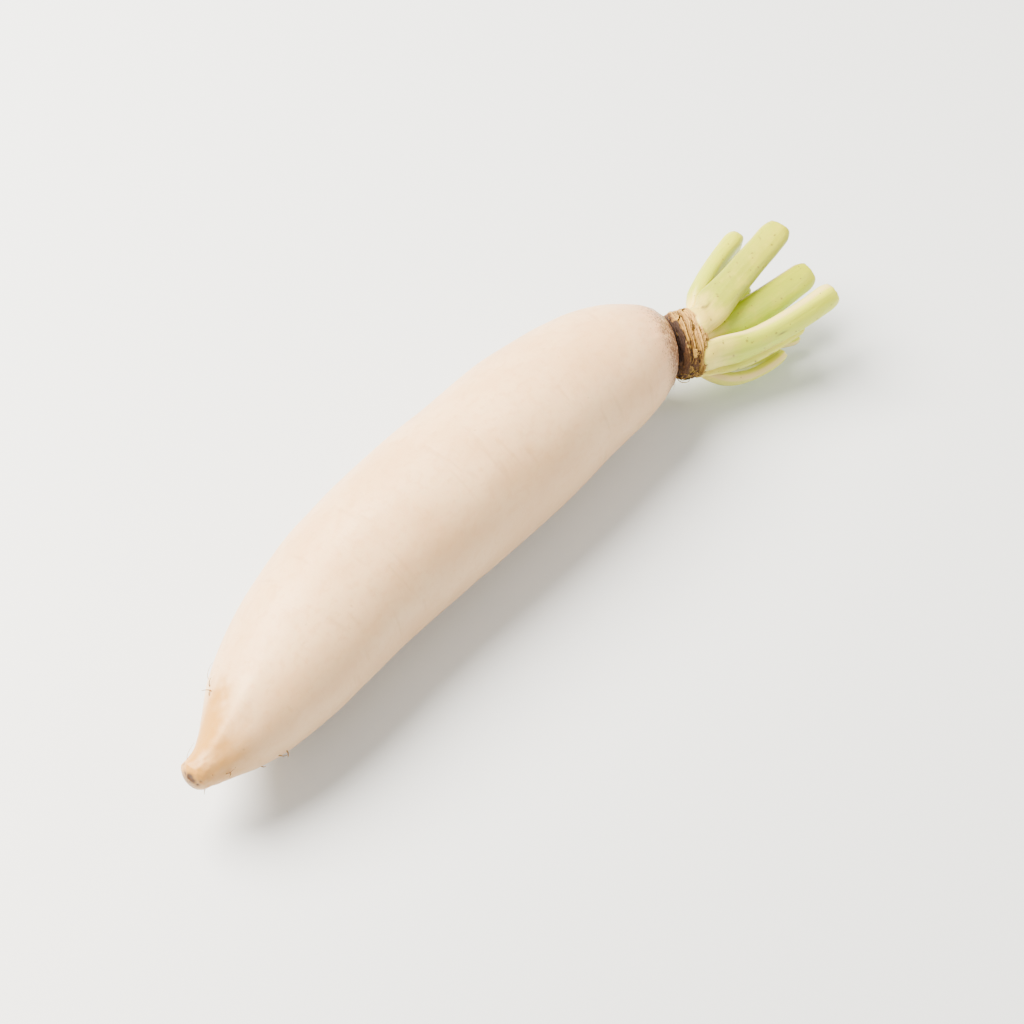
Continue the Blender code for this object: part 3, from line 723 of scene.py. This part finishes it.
def stalk_rings(sector, reach, widths, thickness, follow, bulge, seed):
    """Rings of one stalk from under its foot to the middle of its cut. With each ring go its
    points in the straightened measure, its share of the length and how much of it is cut."""
    outward, foot, bend, end = stalk_course(sector, reach, follow, bulge)
    span = np.linalg.norm(end - foot)
    base = foot_outline(sector)
    outer = 0.5 + 0.5 * np.cos(STALK_TURN)
    unmoved = 0 * STALK_TURN
    stem = []
    for t in np.linspace(0, 1, STALK_RINGS):
        point = foot * (1 - t) ** 2 + bend * 2 * t * (1 - t) + end * t * t
        onward = unit((bend - foot) * (1 - t) + (end - bend) * t)
        swing = ease(t, 0, FOOT_SWING)
        facing = unit(crown_axis * (1 - swing) + onward * swing)
        out = unit(outward - facing * outward.dot(facing))
        sideways = np.cross(out, facing)
        width = float(through((0, 0.5, 1), widths, t))
        depth = thickness[0] + (thickness[1] - thickness[0]) * t
        closing = max(1 - (1 - t) * span / (END_TAPER * widths[2] / 10), 0) ** 2.4
        free = free_outline(width * (1 - 0.2 * closing), depth * (1 - 0.16 * closing))
        blend = ease(t, 0, FOOT_BLEND)
        outline = base * (1 - blend) + free * blend
        swell = SWELL * (1 - ease(t * span, 0, SWELL_HEIGHT))
        outline = outline + np.column_stack((unmoved, swell * outer ** 0.6))
        measure = np.column_stack((np.full(STALK_SIDES, t * span), outline))
        normal = unit(np.roll(outline, -1, 0) - np.roll(outline, 1, 0))[:, ::-1] * (1, -1)
        ribs = 0.05 * lumps(measure, (34, 0.9, 0.9), seed)
        ribs = ribs + 0.12 * lumps(measure, (26, 2.4, 2.4), seed + 1)
        ribs = ribs + 0.14 * lumps(measure, (7, 4, 4), seed + 2)
        ribs = ribs + 0.03 * lumps(measure, 1.4, seed + 3)
        outline = outline + normal * (ribs * (0.35 + 0.65 * ease(t, 0, 0.2)))[:, None]
        stem.append((point + outline[:, :1] * sideways + outline[:, 1:] * out, measure, t, 0.0))

    # The foot clasps the crown with a thin, wavy hem that runs down over the collar's edge.
    sheath, measure = [], stem[0][1]
    for depth, spread in SHEATH:
        wide = base * (1 + 0.02 * spread) + np.column_stack((unmoved, spread * outer ** 0.6))
        wave = 1 + 0.12 * np.sin(5 * STALK_TURN + seed) + 0.08 * np.sin(11 * STALK_TURN + seed)
        hem = foot + wide[:, :1] * np.cross(outward, crown_axis) + wide[:, 1:] * outward
        hem = hem - crown_axis * (depth * wave * (0.25 + 0.75 * outer))[:, None]
        sheath.append((hem, measure - (depth, 0, 0), -0.03, 0.0))
    hem = sheath[0][0]
    inside = hem.mean(0) + (hem - hem.mean(0)) * 0.7 + crown_axis * 0.1
    rows = [(inside, measure - (2.5, 0, 0), -0.05, 0.0)] + sheath + stem

    # The cut rounds over at a frayed rim and sinks a little to its rough middle.
    last, measure = rows[-1][:2]
    fray = 0.16 * lumps(measure, (9, 0.7, 0.7), seed + 5)[:, None]
    for inward, raised, cut in CUT_RIM:
        narrow = 1 - 0.1 * inward
        rows.append((last + unit(last.mean(0) - last) * STALK_ROUNDING * inward
                     + facing * (STALK_ROUNDING * raised + fray),
                     measure * (1, narrow, narrow), 1.0, cut))
    rim, measure = rows[-1][:2]
    for share in np.linspace(0.9, 0.08, CUT_RINGS):
        place = measure * (1, share, share)
        rough = 0.16 * lumps(place, (9, 0.55, 0.55), seed + 6)
        rough = rough + 0.2 * lumps(place, (9, 1.6, 1.6), seed + 7)
        hollow = -0.45 * (1 - share ** 2)
        rows.append((rim.mean(0) + (rim - rim.mean(0)) * share
                     + facing * (hollow + rough)[:, None], place, 1.0, 1.0))
    rings, measures, rise, cut = (np.array(column) for column in zip(*rows))
    return rings, measures, rise[:, None], cut[:, None]


def stalk_material(name, green, tone_and_light):
    """Juicy stalk skin, cream at the foot and green above, with fine veins and specks."""
    material, tree, shader = new_material(name, 0.34, 0.4, (0.004, 0.0036, 0.0012))
    # the brightness factor scales a stalk's colours: partly each stalk's own shade, and on stalk 2
    # painted light that brightens it
    flesh = np.minimum((PALE_GREEN * (1 - green) + BRIGHT_GREEN * green) * tone_and_light, 0.9)
    foot = np.minimum(FOOT_CREAM * tone_and_light ** 0.6, 0.92)
    rise, veins = mark(tree, "rise"), grain(tree, (40, 0.55, 0.55), 3, 2)
    uneven = calc(tree, "SUBTRACT", grain(tree, (14, 5, 5), 3, 6), 0.5)
    greening = calc(tree, "ADD", rise, calc(tree, "MULTIPLY", uneven, 0.35))
    dots = add(tree, "ShaderNodeTexVoronoi", {"Vector": grown_place(tree), "Scale": 0.42})
    specks = calc(tree, "MULTIPLY", calc(
        tree, "SUBTRACT", 1.0, between(tree, dots.outputs["Distance"], 0.08, 0.13)),
        between(tree, grain(tree, (6, 6, 6), 2, 12), 0.47, 0.52))
    colour = coats(tree, (*foot, 1), (
        (between(tree, greening, 0.02, 0.30), flesh),
        (between(tree, rise, 0.5, 1.0, 0.35), (0.70, 0.74, 0.01)),
        (between(tree, veins, 0.50, 0.70, 0.14), (0.60, 0.60, 0.08)),
        (between(tree, grain(tree, (20, 2.2, 2.2), 3, 7), 0.46, 0.70, 0.35), (0.34, 0.46, 0.002)),
        (between(tree, grain(tree, (7, 4, 4), 4, 15), 0.48, 0.66, 0.25), (0.66, 0.60, 0.06)),
        (calc(tree, "MULTIPLY", mark(tree, "margin"), 0.6), (0.88, 0.68, 0.40)),
        (calc(tree, "MULTIPLY", specks, 0.8), (0.16, 0.12, 0.045)),
        (calc(tree, "MULTIPLY", mark(tree, "nick"), 0.85), (0.11, 0.085, 0.03))))
    bundles = add(tree, "ShaderNodeMapping", {"Vector": grown_place(tree),
                                             "Scale": (0.02, 0.85, 0.85)}).outputs[0]
    bundles = add(tree, "ShaderNodeTexVoronoi", {"Vector": bundles, "Scale": 1.0})
    face = coats(tree, (0.45, 0.50, 0.14, 1), (
        (between(tree, bundles.outputs["Distance"], 0.16, 0.34), (0.74, 0.74, 0.36)),
        (between(tree, grain(tree, (9, 0.5, 0.5), 3, 1), 0.45, 0.65, 0.5), (0.86, 0.84, 0.56))))
    colour = tint(tree, mark(tree, "cut"), colour, face)
    tree.links.new(colour, shader.inputs["Base Color"])
    emboss(tree, shader, calc(tree, "ADD", calc(tree, "MULTIPLY", veins, 1.4),
                              grain(tree, (1.4, 0.6, 0.6), 3, 8)), 0.10, 0.7)
    return material


NICKS = {  # along, across, length, width, slant of each scratch or speck
    "leaf_stalk_1": ((5.6, 0.2, 3.4, 0.26, 0), (3.2, 1.5, 1.7, 0.24, 0), (8.4, 1.4, 1.0, 0.24, 0),
                     (12.7, -0.8, 0.3, 0.3, 0), (13.5, -0.1, 0.25, 0.22, 0), (3.2, -5.2, 0.3, 0.3, 0),
                     (23.3, 0.6, 0.5, 0.2, 1.2), (25.0, 2.4, 0.25, 0.25, 0), (36.0, 0.0, 0.3, 0.26, 0),
                     (32.9, -4.9, 0.25, 0.25, 0), (42.5, 1.7, 0.5, 0.2, 1.5), (45.9, -2.2, 0.3, 0.22, 0),
                     (42.5, -3.6, 0.25, 0.25, 0), (18.0, 3.6, 0.25, 0.25, 0), (30.0, 2.2, 0.4, 0.2, 1)),
    "leaf_stalk_2": ((5.9, 5.0, 0.3, 0.3, 0), (16.5, 3.5, 0.35, 0.3, 0), (18.3, 2.3, 0.3, 0.24, 0),
                     (28.3, 1.8, 0.3, 0.28, 0), (30.4, 0.6, 1.8, 0.22, 0), (43.8, -2.7, 0.3, 0.26, 0),
                     (35.5, -2.0, 0.25, 0.25, 0), (10.2, -1.0, 0.3, 0.3, 0), (23.0, -2.4, 0.25, 0.22, 0)),
    "leaf_stalk_8": ((12.0, 2.2, 0.3, 0.25, 0), (37.0, -1.6, 0.3, 0.24, 0), (44.0, 2.0, 0.25, 0.22, 0)),
    "leaf_stalk_3": ((17.0, 2.0, 0.4, 0.2, 0.6), (24.0, 3.0, 0.25, 0.25, 0)),
    "leaf_stalk_7": ((14.0, 0.4, 0.5, 0.2, 0.5), (21.0, 0.8, 0.3, 0.25, 0), (27.5, 0.6, 1.2, 0.2, 0)),
}
for number, (name, *shape, green, tone_and_light) in enumerate(STALKS):
    rings, measures, rise, cut = stalk_rings(*shape, 60 + 10 * number)
    margin = np.exp(-((np.sin(STALK_TURN) - 1) / 0.07) ** 2) * (1 - cut)  # its thin pale edge
    nick = np.zeros(measures.shape[:2])
    for place, over, length, wide, slant in NICKS.get(name, ()):
        up = measures[..., 0] - place
        off = measures[..., 1] - over - slant * up
        nick += np.exp(-(up / length) ** 2 - (off / wide) ** 2)
    nick = np.clip(1.6 * nick, 0, 1) * (measures[..., 2] > 0) * (1 - cut)
    stalk = grown_mesh(name + "_flesh", rings, {
        "grown": measures, "rise": rise, "cut": cut, "margin": margin, "nick": nick},
        rings[0].mean(0), rings[-1].mean(0))
    stalk.data.materials.append(stalk_material(name + "_skin", green, tone_and_light))
    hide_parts(name)
    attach(stalk, "root")

# ---------------------------------------------------------------------------------------------
# The table and the light: a plain pale table top, one broad soft light from above on the far
# left, a weaker one on the crown's near side, and an even white surround.
# ---------------------------------------------------------------------------------------------
EYE = np.array((-518.62, -489.26, 973.93))
AIM = np.array((-8.16, -18.23, 38.68))
LENS, SENSOR, NEAREST, FARTHEST = 120, 36, 0.05, 20
LAMPS = (  # name, place, what it is aimed at, width, power
    ("key", (-200.0, 640.0, 930.0), AIM, 900, 90),
    ("fill", (420.0, -340.0, 330.0), seat, 360, 1.8),
)
LAMP_COLOUR, SURROUND_COLOUR, SURROUND = (1.0, 0.82, 0.62), (1.0, 0.83, 0.65, 1), 0.88
TABLE_HALF, TABLE_COLOUR = 3000, (0.68, 0.81, 0.99, 1)


def aimed(item, place, target):
    """Stand an item at a place, looking at a target."""
    item.location = [p * MM for p in place]
    look = Vector(np.asarray(target) - np.asarray(place))
    item.rotation_euler = look.to_track_quat("-Z", "Y").to_euler()
    bpy.context.scene.collection.objects.link(item)


lens = bpy.data.cameras.new("camera")
lens.lens, lens.sensor_width = LENS, SENSOR
lens.clip_start, lens.clip_end = NEAREST, FARTHEST
camera = bpy.data.objects.new("camera", lens)
aimed(camera, EYE, AIM)
bpy.context.scene.camera = camera

for name, place, target, width, power in LAMPS:
    lamp = bpy.data.lights.new(name, "AREA")
    lamp.shape, lamp.size, lamp.energy, lamp.color = "DISK", width * MM, power, LAMP_COLOUR
    aimed(bpy.data.objects.new(name, lamp), place, target)

world = bpy.data.worlds.new("surround")
world.use_nodes = True
world.node_tree.nodes["Background"].inputs["Color"].default_value = SURROUND_COLOUR
world.node_tree.nodes["Background"].inputs["Strength"].default_value = SURROUND
bpy.context.scene.world = world

table_mesh = bpy.data.meshes.new("table")
corners = [(x * TABLE_HALF * MM, y * TABLE_HALF * MM, 0) for x, y in
           ((-1, -1), (1, -1), (1, 1), (-1, 1))]
table_mesh.from_pydata(corners, [], [(0, 1, 2, 3)])
table = bpy.data.objects.new("table", table_mesh)
bpy.context.scene.collection.objects.link(table)
table_top, tree, shader = new_material("table_top", 0.35)
shader.inputs["Base Color"].default_value = TABLE_COLOUR
table_mesh.materials.append(table_top)
